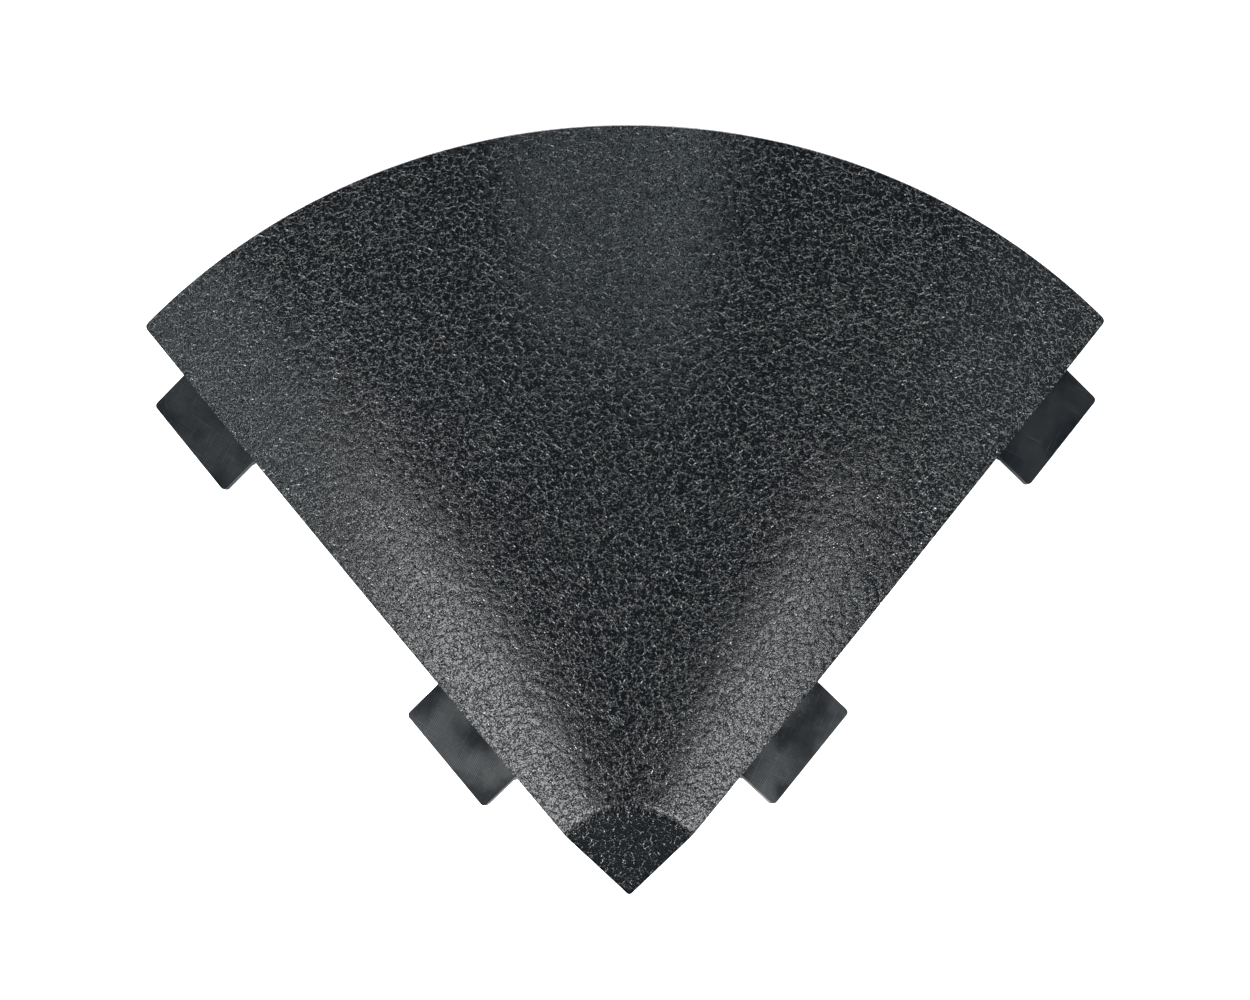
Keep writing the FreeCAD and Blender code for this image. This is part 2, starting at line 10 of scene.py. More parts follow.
import enum
import logging
import math
from collections.abc import Callable
from dataclasses import dataclass, field
from typing import Union

import bmesh
import bpy
from mathutils import Matrix, Vector

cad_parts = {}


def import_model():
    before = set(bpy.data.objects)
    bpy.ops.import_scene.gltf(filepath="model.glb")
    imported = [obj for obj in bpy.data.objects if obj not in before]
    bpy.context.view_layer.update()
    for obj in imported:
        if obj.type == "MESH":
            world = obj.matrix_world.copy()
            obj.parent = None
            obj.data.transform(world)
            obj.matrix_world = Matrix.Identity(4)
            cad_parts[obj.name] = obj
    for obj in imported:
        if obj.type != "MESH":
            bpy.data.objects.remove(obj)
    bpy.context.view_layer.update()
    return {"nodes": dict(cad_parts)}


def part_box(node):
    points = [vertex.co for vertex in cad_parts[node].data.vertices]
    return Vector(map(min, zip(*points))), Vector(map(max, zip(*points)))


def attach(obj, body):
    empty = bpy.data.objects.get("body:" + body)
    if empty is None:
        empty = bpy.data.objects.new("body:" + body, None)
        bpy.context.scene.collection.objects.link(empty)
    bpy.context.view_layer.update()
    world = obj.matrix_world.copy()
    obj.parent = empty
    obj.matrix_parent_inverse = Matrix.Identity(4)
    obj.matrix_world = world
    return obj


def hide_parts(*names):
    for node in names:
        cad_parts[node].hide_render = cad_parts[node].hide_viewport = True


LOG = logging.getLogger("corner_ramp")
BODY = "root"
SKIN_NODE = "ramp_skin"

MM = 0.001
WELD = 0.01 * MM  # points closer than this are merged
SAME = 0.02 * MM  # radii or heights closer than this are taken as one
ON_PLANE = 0.001 * MM  # how near a cut face's plane a point has to be
LEAST_MOVE = 1e-6 * MM  # points nearer than this to their place stay where they are
QUARTER_TURN = math.pi / 2
EDGE_ANGLE = math.pi / 4  # each straight edge from +Y
TOP_FACING = 0.5  # Z of the normal, above which a face belongs to the grained top

Feed = Union[bpy.types.NodeSocket, float, tuple, bool, None]  # what an input can be given


class Side(enum.Enum):
    """The two straight edges, with the sign of X on each."""

    LEFT = -1
    RIGHT = 1

    def outward(self) -> Vector:
        """Level direction out from the straight edge, square to it."""
        return Vector((self.value * math.cos(EDGE_ANGLE), -math.sin(EDGE_ANGLE), 0))

    def along(self) -> Vector:
        """Level direction from the apex out along the straight edge."""
        return Vector((self.value * math.sin(EDGE_ANGLE), math.cos(EDGE_ANGLE), 0))


class Part(enum.Enum):
    """The parts of a mesh that can be selected, with bmesh's name for each."""

    EDGE = "edges"
    FACE = "faces"


# --- small helpers for edit mode -------------------------------------------------------------------


def deselect_all() -> None:
    """Leave object mode with nothing selected and no active object."""
    if bpy.context.object is not None and bpy.context.object.mode != "OBJECT":
        bpy.ops.object.mode_set(mode="OBJECT")
    bpy.ops.object.select_all(action="DESELECT")
    bpy.context.view_layer.objects.active = None


def make_active(piece: bpy.types.Object) -> None:
    """Select one object alone and make it active."""
    deselect_all()
    piece.select_set(True)
    bpy.context.view_layer.objects.active = piece


def select(piece: bpy.types.Object, part: Part,
           wanted: Callable[[bmesh.types.BMEdge | bmesh.types.BMFace], bool]) -> None:
    """Select, in edit mode, the edges or faces that a test accepts, and nothing else.

    Args:
        piece: Object in edit mode.
        part: Which parts of the mesh to look through.
        wanted: Test that says whether to select one of them.
    """
    mesh = bmesh.from_edit_mesh(piece.data)
    bpy.ops.mesh.select_all(action="DESELECT")
    bpy.ops.mesh.select_mode(type=part.name)
    for found in getattr(mesh, part.value):
        if wanted(found):
            found.select_set(True)
    bmesh.update_edit_mesh(piece.data, loop_triangles=False, destructive=False)


# --- node building ---------------------------------------------------------------------------------


class Wires:
    """Adds nodes to a shader or geometry node tree, and links them as they are made."""

    def __init__(self, tree: bpy.types.NodeTree) -> None:
        """Keep the tree that nodes are added to."""
        self.tree = tree

    def put(self, socket: bpy.types.NodeSocket, value: Feed) -> None:
        """Link an output to an input, or set the input's own value.

        Args:
            socket: The input.
            value: An output, a value, or None to leave the input alone.
        """
        if isinstance(value, bpy.types.NodeSocket):
            self.tree.links.new(value, socket)
        elif value is not None:
            socket.default_value = value

    def node(self, kind: str, settings: dict[str, object] | None = None,
             **inputs: Feed) -> bpy.types.Node:
        """Add a node.

        Args:
            kind: The node's type name.
            settings: Properties to set before the inputs.
            inputs: Values or outputs for its inputs, with spaces written as underscores.

        Returns:
            The new node.
        """
        made = self.tree.nodes.new(kind)
        for name, value in (settings or {}).items():
            setattr(made, name, value)
        for name, value in inputs.items():
            self.put(made.inputs[name.replace("_", " ")], value)
        return made

    def worked(self, kind: str, operation: str, values: tuple[Feed, ...]) -> bpy.types.Node:
        """Add a node that works on values in the order of its inputs.

        Args:
            kind: The node's type name.
            operation: What it does with the values.
            values: Values or outputs for its first inputs.

        Returns:
            The new node.
        """
        made = self.node(kind, {"operation": operation})
        for socket, value in zip(made.inputs, values):
            self.put(socket, value)
        return made

    def math(self, operation: str, *values: Feed) -> bpy.types.NodeSocket:
        """Output of a Math node on one to three values."""
        return self.worked("ShaderNodeMath", operation, values).outputs[0]

    def vector(self, operation: str, *values: Feed) -> bpy.types.NodeSocket:
        """Output of a Vector Math node on two vectors."""
        return self.worked("ShaderNodeVectorMath", operation, values).outputs[0]

    def dot(self, first: Feed, second: Feed) -> bpy.types.NodeSocket:
        """Length of one vector along another."""
        return self.worked("ShaderNodeVectorMath", "DOT_PRODUCT", (first, second)).outputs["Value"]

    def scaled(self, vector: bpy.types.NodeSocket, factor: float) -> bpy.types.NodeSocket:
        """Multiply a vector by a number.

        Args:
            vector: Output to scale.
            factor: The number.

        Returns:
            The result's socket.
        """
        made = self.worked("ShaderNodeVectorMath", "SCALE", (vector,))
        self.put(made.inputs["Scale"], factor)
        return made.outputs[0]

    def turned(self, place: bpy.types.NodeSocket, angle: float) -> bpy.types.NodeSocket:
        """A place turned about Z, in radians."""
        return self.node("ShaderNodeVectorRotate", {"rotation_type": "Z_AXIS"},
                         Vector=place, Angle=angle).outputs[0]

    def ramp(self, value: Feed, low: float, high: float, out_low: float = 0.0,
             out_high: float = 1.0, smooth: bool = True) -> bpy.types.NodeSocket:
        """A value taken from one range to another, clamped.

        Args:
            value: Output to take.
            low: Value that gives out_low.
            high: Value that gives out_high.
            out_low: Result at low.
            out_high: Result at high.
            smooth: Ease both ends.

        Returns:
            The result's socket.
        """
        kind = "SMOOTHSTEP" if smooth else "LINEAR"
        made = self.node("ShaderNodeMapRange", {"interpolation_type": kind})
        for socket, number in zip(made.inputs, (value, low, high, out_low, out_high)):
            self.put(socket, number)
        return made.outputs[0]

    def noise(self, place: Feed, scale: Feed, detail: float = 2.0,
              output: str = "Fac") -> bpy.types.NodeSocket:
        """Noise at a place, with so many grains to the metre: its value or its colour."""
        made = self.node("ShaderNodeTexNoise", None, Vector=place, Scale=scale, Detail=detail)
        return made.outputs[output]

    def cells(self, place: Feed, scale: float, feature: str) -> bpy.types.NodeSocket:
        """Distance from a cell's middle (F1) or from its border (DISTANCE_TO_EDGE), in cells."""
        made = self.node("ShaderNodeTexVoronoi", {"feature": feature}, Vector=place, Scale=scale)
        return made.outputs["Distance"]

    def mix(self, factor: Feed, first: Feed, second: Feed) -> bpy.types.NodeSocket:
        """Blend two colours.

        Args:
            factor: Share of the second colour.
            first: First colour or output.
            second: Second colour or output.

        Returns:
            The blend's socket.
        """
        made = self.node("ShaderNodeMix", {"data_type": "RGBA"})
        factor_in, first_in, second_in = 0, 6, 7  # the node's inputs for colours
        for index, value in ((factor_in, factor), (first_in, first), (second_in, second)):
            self.put(made.inputs[index], value)
        return made.outputs[2]


@dataclass(frozen=True)
class PebbleGrain:
    """Leather grain: low rounded pebbles with narrow, broken grooves between them."""

    pebble: float = 3.2 * MM  # across one pebble
    groove: float = 0.11  # groove's half width, as a share of a pebble
    wander: float = 0.9 * MM  # how far the grooves stray from straight lines
    wander_step: float = 2.4 * MM
    gap_step: float = 2.6 * MM  # spacing of the places where a groove fades out
    wrinkle: float = 0.6 * MM  # across one of the small wrinkles on a pebble
    dome_foot: float = 0.75  # where a pebble's rounded shoulder ends, as a share of a pebble
    dome_top: float = 0.40  # where it meets the flat top
    crease: float = 1.5 * MM  # between the hair creases that cross a pebble
    crease_width: float = 0.13  # a crease's half width, as a share of that
    crease_gaps: float = 1.3  # places where a crease fades out, to each crease spacing
    groove_break: tuple[float, float] = (0.58, 0.47)  # noise at which a groove is gone, and whole
    crease_break: tuple[float, float] = (0.53, 0.43)

    def bent(self, wires: Wires, place: bpy.types.NodeSocket) -> bpy.types.NodeSocket:
        """Add the grooves' wandering to a position.

        Args:
            wires: The tree's wires.
            place: Where on the surface.

        Returns:
            The position that the cells are laid out on.
        """
        stray = wires.vector("SUBTRACT", wires.noise(place, 1 / self.wander_step, 1.0, "Color"),
                             (0.5, 0.5, 0.5))
        return wires.vector("ADD", place, wires.scaled(stray, 2 * self.wander))

    def dome(self, wires: Wires, place: bpy.types.NodeSocket) -> bpy.types.NodeSocket:
        """Rounded tops of the pebbles, from 0 between them to 1 at their middles."""
        middle = wires.cells(self.bent(wires, place), 1 / self.pebble, "F1")
        return wires.ramp(middle, self.dome_foot, self.dome_top)

    def grooves(self, wires: Wires, place: bpy.types.NodeSocket) -> bpy.types.NodeSocket:
        """Make the broken grooves between the pebbles.

        Args:
            wires: The tree's wires.
            place: Where on the surface.

        Returns:
            A mask, from 0 on a pebble to 1 at a groove's bottom.
        """
        border = wires.cells(self.bent(wires, place), 1 / self.pebble, "DISTANCE_TO_EDGE")
        groove = wires.ramp(border, self.groove, 0.0)
        broken = wires.ramp(wires.noise(place, 1 / self.gap_step, 1.0), *self.groove_break)
        return wires.math("MULTIPLY", groove, broken)

    def creases(self, wires: Wires, place: bpy.types.NodeSocket) -> bpy.types.NodeSocket:
        """Make the hair creases that cross the pebbles.

        Args:
            wires: The tree's wires.
            place: Where on the surface.

        Returns:
            A mask, from 0 between them to 1 at a crease's bottom.
        """
        border = wires.cells(self.bent(wires, place), 1 / self.crease, "DISTANCE_TO_EDGE")
        crease = wires.ramp(border, self.crease_width, 0.0)
        broken = wires.ramp(wires.noise(place, self.crease_gaps / self.crease, 0.0),
                            *self.crease_break)
        return wires.math("MULTIPLY", crease, broken)

    def wrinkles(self, wires: Wires, place: bpy.types.NodeSocket) -> bpy.types.NodeSocket:
        """Small shallow wrinkles all over, about 0 to 1."""
        return wires.noise(place, 1 / self.wrinkle, 2.0)


# --- finishes --------------------------------------------------------------------------------------


CLOUD_RANGE = (0.3, 0.7)  # noise where the clouds of handling are least, and most


def new_group(name: str, inputs: tuple[str, ...], outputs: tuple[str, ...]) -> bpy.types.NodeTree:
    """Empty shader node group that takes a place and some numbers and gives numbers.

    Args:
        name: The group's name.
        inputs: Names of the numbers it takes.
        outputs: Names of the numbers it gives.

    Returns:
        The group, with its input and output nodes as the first two.
    """
    group = bpy.data.node_groups.new(name, "ShaderNodeTree")
    group.interface.new_socket("Place", in_out="INPUT", socket_type="NodeSocketVector")
    for title in inputs:
        group.interface.new_socket(title, in_out="INPUT", socket_type="NodeSocketFloat")
    for title in outputs:
        group.interface.new_socket(title, in_out="OUTPUT", socket_type="NodeSocketFloat")
    group.nodes.new("NodeGroupInput")
    group.nodes.new("NodeGroupOutput")
    return group


def pebble_group(grain: PebbleGrain) -> bpy.types.NodeTree:
    """Group that gives the grain's height and its groove mask at a place.

    Args:
        grain: The grain's sizes.

    Returns:
        The node group, whose height and inputs are in groove depths.
    """
    group = new_group("pebble_grain", ("Dome", "Wrinkle", "Crease"), ("Height", "Groove"))
    wires = Wires(group)
    source, sink = group.nodes[0], group.nodes[1]
    place = source.outputs["Place"]
    groove = grain.grooves(wires, place)
    dome = wires.math("MULTIPLY", grain.dome(wires, place), source.outputs["Dome"])
    wrinkle = wires.math("MULTIPLY", grain.wrinkles(wires, place), source.outputs["Wrinkle"])
    crease = wires.math("MULTIPLY", grain.creases(wires, place), source.outputs["Crease"])
    lifted = wires.math("SUBTRACT", wires.math("ADD", dome, wrinkle), crease)
    wires.put(sink.inputs["Height"], wires.math("SUBTRACT", lifted, groove))
    wires.put(sink.inputs["Groove"], groove)
    return group


@dataclass(frozen=True)
class HandlingWear:
    """Settled dust and fine scuffs, as every piece in use has them."""

    cloud: float = 14.0  # dusty clouds to the metre
    speck: float = 900.0  # dust specks to the metre
    dusty: tuple[float, float] = (0.40, 0.75)  # cloud noise where dust starts, and is full
    specked: tuple[float, float] = (0.52, 0.70)
    scuff_turns: tuple[float, float] = (0.5, 2.1)  # the two ways the scuffs run, in radians
    scuff_stretch: float = 60.0  # a scuff's length over its width
    scuffed: tuple[float, float] = (0.60, 0.72)

    def build(self) -> bpy.types.NodeTree:
        """Make the group that gives masks of the dust, the scuffs and the clouds at a place.

        Returns:
            The node group.
        """
        group = new_group("handling_wear", ("Scuff length",), ("Dust", "Scuffs", "Cloud"))
        wires = Wires(group)
        source, sink = group.nodes[0], group.nodes[1]
        place = source.outputs["Place"]
        cloud = wires.noise(place, self.cloud, 3.0)
        specks = wires.noise(place, self.speck, 2.0)
        dust = wires.math("MULTIPLY", wires.ramp(cloud, *self.dusty),
                          wires.ramp(specks, *self.specked))
        fineness = wires.math("DIVIDE", 1.0, source.outputs["Scuff length"])
        scuffs = None
        for angle in self.scuff_turns:
            long_way = wires.vector("MULTIPLY", wires.turned(place, angle),
                                    (1.0, self.scuff_stretch, 1.0))
            mask = wires.ramp(wires.noise(long_way, fineness, 3.0), *self.scuffed)
            scuffs = mask if scuffs is None else wires.math("MAXIMUM", scuffs, mask)
        for title, value in (("Dust", dust), ("Scuffs", scuffs), ("Cloud", cloud)):
            wires.put(sink.inputs[title], value)
        return group


class Finishes:
    """The node groups that the finishes share, built once."""

    def __init__(self, grain: PebbleGrain) -> None:
        """Build the shared groups."""
        self.pebbles = pebble_group(grain)
        self.wear = HandlingWear().build()

    def add_wear(self, wires: Wires, place: bpy.types.NodeSocket,
                 scuff_length: float = 20 * MM) -> bpy.types.Node:
        """Node with the masks of dust, scuffs and clouds at a place."""
        return wires.node("ShaderNodeGroup", {"node_tree": self.wear}, Place=place,
                          Scuff_length=scuff_length)


def start_material(name: str) -> tuple[bpy.types.Material, Wires, bpy.types.Node]:
    """New node material.

    Args:
        name: The material's name.

    Returns:
        The material, its wires and its Principled BSDF.
    """
    material = bpy.data.materials.new(name)
    material.use_nodes = True
    wires = Wires(material.node_tree)
    return material, wires, material.node_tree.nodes["Principled BSDF"]


def grey(value: float, warmth: float = 0.0) -> tuple[float, float, float, float]:
    """A near-neutral colour, a little warm or, below zero, cool."""
    return (value * (1 + warmth), value, value * (1 - warmth), 1.0)


def add_bump(wires: Wires, shader: bpy.types.Node, height: bpy.types.NodeSocket,
             depth: float) -> None:
    """Give a shader the normal of a surface in relief.

    Args:
        wires: The material's wires.
        shader: The shader.
        height: The relief's height, as a share of the depth.
        depth: The relief's depth.
    """
    bump = wires.node("ShaderNodeBump", None, Height=height)
    bump.inputs["Distance"].default_value = depth
    wires.put(shader.inputs["Normal"], bump.outputs[0])


@dataclass(frozen=True)
class PebbledPlastic:
    """Black sheet plastic with a pebbled, glossy face."""

    colour: float = 0.0045
    groove_colour: float = 0.009
    warmth: float = -0.18
    groove_warmth: float = -0.12
    roughness: float = 0.10
    cloudiness: tuple[float, float] = (-0.02, 0.03)  # added to it where handling is least, most
    groove_depth: float = 0.17 * MM
    dome: float = 0.08  # heights of the rest of the grain, in groove depths
    wrinkle: float = 0.17
    crease: float = 0.32
    speckle: float = 0.6 * MM  # between the dull specks of the embossed face
    speck_edge: tuple[float, float] = (0.36, 0.60)  # noise where a speck is dull, and is gone
    dull: float = 0.10  # specular level on a dull speck
    bright: float = 0.80  # and between the specks
    ior: float = 1.5
    dust: float = 0.04
    dust_colour: float = 0.25

    def build(self, shared: Finishes) -> bpy.types.Material:
        """Make the material.

        Args:
            shared: Node groups in common.

        Returns:
            The material.
        """
        material, wires, shader = start_material("pebbled_black_plastic")
        place = wires.node("ShaderNodeTexCoord").outputs["Object"]
        grain = wires.node("ShaderNodeGroup", {"node_tree": shared.pebbles}, Place=place,
                           Dome=self.dome, Wrinkle=self.wrinkle, Crease=self.crease)
        wear = shared.add_wear(wires, place)
        body = wires.mix(grain.outputs["Groove"], grey(self.colour, self.warmth),
                         grey(self.groove_colour, self.groove_warmth))
        dusty = wires.mix(wires.math("MULTIPLY", wear.outputs["Dust"], self.dust), body,
                          grey(self.dust_colour))
        wires.put(shader.inputs["Base Color"], dusty)
        least, most = (self.roughness + more for more in self.cloudiness)
        wires.put(shader.inputs["Roughness"],
                  wires.ramp(wear.outputs["Cloud"], *CLOUD_RANGE, least, most))
        specks = wires.noise(place, 1 / self.speckle, 1.0)
        wires.put(shader.inputs["Specular IOR Level"],
                  wires.ramp(specks, *self.speck_edge, self.dull, self.bright))
        shader.inputs["IOR"].default_value = self.ior
        add_bump(wires, shader, grain.outputs["Height"], self.groove_depth)
        return material


@dataclass(frozen=True)
class SmoothPlastic:
    """Black sheet plastic with a satin face, a faint crossed hatch, clouds of rubbing and scuffs."""

    name: str
    colour: float = 0.006
    warmth: float = -0.25
    roughness: float = 0.44
    scuff_length: float = 20.0 * MM
    scuff_share: float = 0.4  # how much of its colour a scuff gives
    scuff_colour: float = 0.05
    scuff_warmth: float = -0.06
    scuff_roughness: float = 0.58
    scuff_depth: float = 0.6  # in hatch depths
    hatch_pitch: float = 0.95 * MM
    hatch_turns: tuple[float, float] = (0.42, 1.63)  # the two ways the hatch runs, in radians
    hatch_depth: float = 0.02 * MM
    hatch_shine: float = 0.5  # how much the hatch changes the shine
    rub: float = 75.0  # rubbed clouds to the metre
    rubbed: tuple[float, float] = (0.42, 0.68)  # noise where rubbing starts, and is full
    rubbing: float = 0.12  # how much smoother the rubbed clouds are
    rub_share: float = 0.12  # how much of its colour rubbing gives
    rub_colour: float = 0.04
    rub_warmth: float = -0.10
    specular: float = 0.12
    patchy: float = 0.65  # how much the shine changes from patch to patch
    patch: float = 22.0 * MM
    patch_edge: tuple[float, float] = (0.38, 0.62)
    dust: float = 0.08
    dust_colour: float = 0.3

    def hatch(self, wires: Wires, place: bpy.types.NodeSocket) -> bpy.types.NodeSocket:
        """Make two sets of fine parallel lines, crossed at a slant.

        Args:
            wires: The tree's wires.
            place: Where on the surface.

        Returns:
            The product of both waves, from -1 to 1.
        """
        lines = None
        for angle in self.hatch_turns:
            across = wires.node("ShaderNodeSeparateXYZ", None,
                                Vector=wires.turned(place, angle)).outputs["X"]
            wave = wires.math("SINE", wires.math("MULTIPLY", across, math.tau / self.hatch_pitch))
            lines = wave if lines is None else wires.math("MULTIPLY", lines, wave)
        return lines

    def build(self, shared: Finishes) -> bpy.types.Material:
        """Make the material.

        Args:
            shared: Node groups in common.

        Returns:
            The material.
        """
        material, wires, shader = start_material(self.name)
        place = wires.node("ShaderNodeTexCoord").outputs["Object"]
        wear = shared.add_wear(wires, place, self.scuff_length)
        scuffs = wear.outputs["Scuffs"]
        rubbed = wires.ramp(wires.noise(place, self.rub, 2.0), *self.rubbed)
        colour = grey(self.colour, self.warmth)
        for mask, share, over in (
                (scuffs, self.scuff_share, grey(self.scuff_colour, self.scuff_warmth)),
                (rubbed, self.rub_share, grey(self.rub_colour, self.rub_warmth)),
                (wear.outputs["Dust"], self.dust, grey(self.dust_colour))):
            colour = wires.mix(wires.math("MULTIPLY", mask, share), colour, over)
        wires.put(shader.inputs["Base Color"], colour)
        rough = wires.ramp(scuffs, 0.0, 1.0, self.roughness, self.scuff_roughness)
        wires.put(shader.inputs["Roughness"],
                  wires.math("SUBTRACT", rough, wires.math("MULTIPLY", rubbed, self.rubbing)))
        hatch = self.hatch(wires, place)
        patches = wires.ramp(wires.noise(place, 1 / self.patch, 3.0), *self.patch_edge,
                             1 - self.patchy, 1 + self.patchy)
        lines = wires.math("MULTIPLY_ADD", hatch, self.hatch_shine, 1.0)
        shine = wires.math("MULTIPLY", wires.math("MULTIPLY", patches, lines), self.specular)
        wires.put(shader.inputs["Specular IOR Level"], shine)
        lift = wires.math("ADD", hatch, wires.math("MULTIPLY", scuffs, -self.scuff_depth))
        add_bump(wires, shader, lift, self.hatch_depth)
        return material


@dataclass(frozen=True)
class MattCompound:
    """Rubber or cured adhesive: matt, mottled and finely pitted."""

    name: str
    colour: float
    mottle: float = 1.5  # the paler clouds' colour over the darker ones'
    roughness: float = 0.75
    roughness_spread: float = 0.08
    pit_size: float = 0.8 * MM
    pit_depth: float = 0.06 * MM
    pitted: tuple[float, float] = (0.3, 0.7)
    dust: float = 0.25
    dust_colour: float = 0.3

    def build(self, shared: Finishes) -> bpy.types.Material:
        """Make the material.

        Args:
            shared: Node groups in common.

        Returns:
            The material.
        """
        material, wires, shader = start_material(self.name)
        place = wires.node("ShaderNodeTexCoord").outputs["Object"]
        wear = shared.add_wear(wires, place)
        mottled = wires.mix(wires.ramp(wear.outputs["Cloud"], *CLOUD_RANGE), grey(self.colour),
                            grey(self.mottle * self.colour))
        dusty = wires.mix(wires.math("MULTIPLY", wear.outputs["Dust"], self.dust), mottled,
                          grey(self.dust_colour))
        wires.put(shader.inputs["Base Color"], dusty)
        pits = wires.noise(place, 1 / self.pit_size, 3.0)
        wires.put(shader.inputs["Roughness"],
                  wires.ramp(pits, *self.pitted, self.roughness - self.roughness_spread,
                             self.roughness + self.roughness_spread))
        add_bump(wires, shader, pits, self.pit_depth)
        return material


# --- the textured skin -----------------------------------------------------------------------------


@dataclass
class RampSkin:
    """Pebbled sheet formed over the mound: flat landing, bend, bowed slope and upright toe."""

    radius: float
    rise: float
    grain: PebbleGrain
    toe_height: float = 3.0 * MM
    landing_flat: float = 34.4 * MM
    bend_radius: float = 15.0 * MM
    crown_radius: float = 5.0
    thickness: float = 4.0 * MM
    outer_corner_round: float = 2.0 * MM
    apex_round: float = 1.3 * MM
    edge_ease: float = 0.12 * MM  # how far the sawn top edges drop away
    edge_ease_width: float = 1.3 * MM
    relief: float = 0.07 * MM  # height of the pebbles in the mesh
    spacing: float = 1.2 * MM  # between the mesh's rows up the slope
    under_spacing: float = 8.0 * MM
    first_steps: int = 28  # mesh steps round the quarter turn, nearest the apex
    finest: int = 4  # how many times they double towards the toe
    under_finest: int = 2
    toe_steps: int = 3  # mesh steps up the upright toe
    round_cuts: int = 4
    hair: float = 0.005 * MM  # how far the trimmed corners keep inside the full round
    crease_angle: float = 40.0  # degrees, past which an edge is left sharp
    centre: tuple[float, float] = field(init=False)

    def __post_init__(self) -> None:
        """Work out the centre of the slope's large arc, tangent to the bend and through the toe."""
        bend_r, bend_z = self.landing_flat, self.rise - self.bend_radius
        across_r, across_z = self.radius - bend_r, self.toe_height - bend_z
        apart = math.hypot(across_r, across_z)
        along_r, along_z = across_r / apart, across_z / apart
        from_bend, from_toe = self.crown_radius - self.bend_radius, self.crown_radius
        along = (from_bend**2 - from_toe**2 + apart**2) / (2 * apart)
        across = math.sqrt(from_bend**2 - along**2)
        self.centre = (bend_r + along_r * along + along_z * across,
                       bend_z + along_z * along - along_r * across)

    def slope_height(self, radius: float) -> float:
        """Height of the slope at a plan radius."""
        return self.centre[1] + math.sqrt(self.crown_radius**2 - (radius - self.centre[0]) ** 2)

    def slope_angle(self, radius: float) -> float:
        """Steepness of the slope at a plan radius, in radians."""
        return math.asin((radius - self.centre[0]) / self.crown_radius)

    def half_profile(self, depth: float, spacing: float) -> list[tuple[float, float]]:
        """Points of the outer or inner face, from the axis to the toe.

        Args:
            depth: How far under the outer face.
            spacing: Between neighbouring points.

        Returns:
            Plan radius and height of each point.
        """
        bend_z = self.rise - self.bend_radius
        start = self.slope_angle(
            self.landing_flat + self.bend_radius * (self.landing_flat - self.centre[0])
            / (self.crown_radius - self.bend_radius))
        bend = self.bend_radius - depth
        flat_steps = max(2, round(self.landing_flat / spacing))
        points = [(self.landing_flat * k / flat_steps, self.rise - depth)
                  for k in range(flat_steps)]
        bend_steps = max(5, round(bend * start / spacing))
        points += [(self.landing_flat + bend * math.sin(start * k / bend_steps),
                    bend_z + bend * math.cos(start * k / bend_steps))
                   for k in range(bend_steps)]
        reach = self.crown_radius - depth
        # the inner face runs down to the floor, the outer one stops at the toe's rim
        end = (math.asin(math.sqrt(reach**2 - self.centre[1] ** 2) / reach) if depth
               else self.slope_angle(self.radius))
        slope_steps = round(reach * (end - start) / spacing)
        points += [(self.centre[0] + reach * math.sin(start + (end - start) * k / slope_steps),
                    self.centre[1] + reach * math.cos(start + (end - start) * k / slope_steps))
                   for k in range(slope_steps + 1)]
        return points

    def profile(self) -> list[tuple[float, float]]:
        """Closed outline of the sheet's section, from the top of the axis out and back under."""
        outer = self.half_profile(0.0, self.spacing)
        wall = [(self.radius, self.toe_height * k / self.toe_steps)
                for k in reversed(range(self.toe_steps))]
        inner = self.half_profile(self.thickness, self.under_spacing)
        return outer + wall + inner[::-1]

    def draw_profile(self) -> bpy.types.Object:
        """Draw the section, point after point, over one straight edge.

        Returns:
            The piece, a closed loop of edges.
        """
        points = self.profile()
        deselect_all()
        bpy.ops.mesh.primitive_plane_add(size=self.thickness, location=(0, 0, self.rise))
        piece = bpy.context.object
        piece.name = piece.data.name = "pebbled_skin"
        bpy.ops.object.transform_apply(location=True, rotation=True, scale=True)
        bpy.ops.object.mode_set(mode="EDIT")
        bpy.ops.mesh.select_all(action="SELECT")
        bpy.ops.mesh.merge(type="CENTER")
        bpy.ops.mesh.select_mode(type="VERT")
        out = Side.RIGHT.along()
        for (r0, z0), (r1, z1) in zip(points, points[1:]):
            step = out * (r1 - r0) + Vector((0, 0, z1 - z0))
            bpy.ops.mesh.extrude_region_move(TRANSFORM_OT_translate={"value": step})
        bpy.ops.mesh.select_all(action="SELECT")
        mesh = bmesh.from_edit_mesh(piece.data)
        for vertex in mesh.verts:
            vertex.select_set(len(vertex.link_edges) < 2)
        mesh.select_flush(False)
        bpy.ops.mesh.edge_face_add()
        return piece

    def sweep(self, piece: bpy.types.Object) -> None:
        """Turn the section through a quarter circle and close both straight edges.

        Args:
            piece: The section's loop, in edit mode.
        """
        bpy.ops.mesh.select_mode(type="EDGE")
        bpy.ops.mesh.select_all(action="SELECT")
        bpy.ops.mesh.spin(steps=self.first_steps, angle=-QUARTER_TURN, center=(0, 0, 0),
                          axis=(0, 0, 1), use_auto_merge=False)
        mesh = bmesh.from_edit_mesh(piece.data)
        if min(v.co.x for v in mesh.verts) > -self.radius / 2:
            raise RuntimeError("the section was turned the wrong way")
        bpy.ops.mesh.select_all(action="SELECT")
        bpy.ops.mesh.remove_doubles(threshold=WELD)
        for side in Side:
            out = side.outward()
            select(piece, Part.EDGE, lambda e: all(abs(v.co.dot(out)) < ON_PLANE for v in e.verts))
            bpy.ops.mesh.edge_face_add()
        bpy.ops.mesh.select_all(action="SELECT")
        bpy.ops.mesh.normals_make_consistent(inside=False)

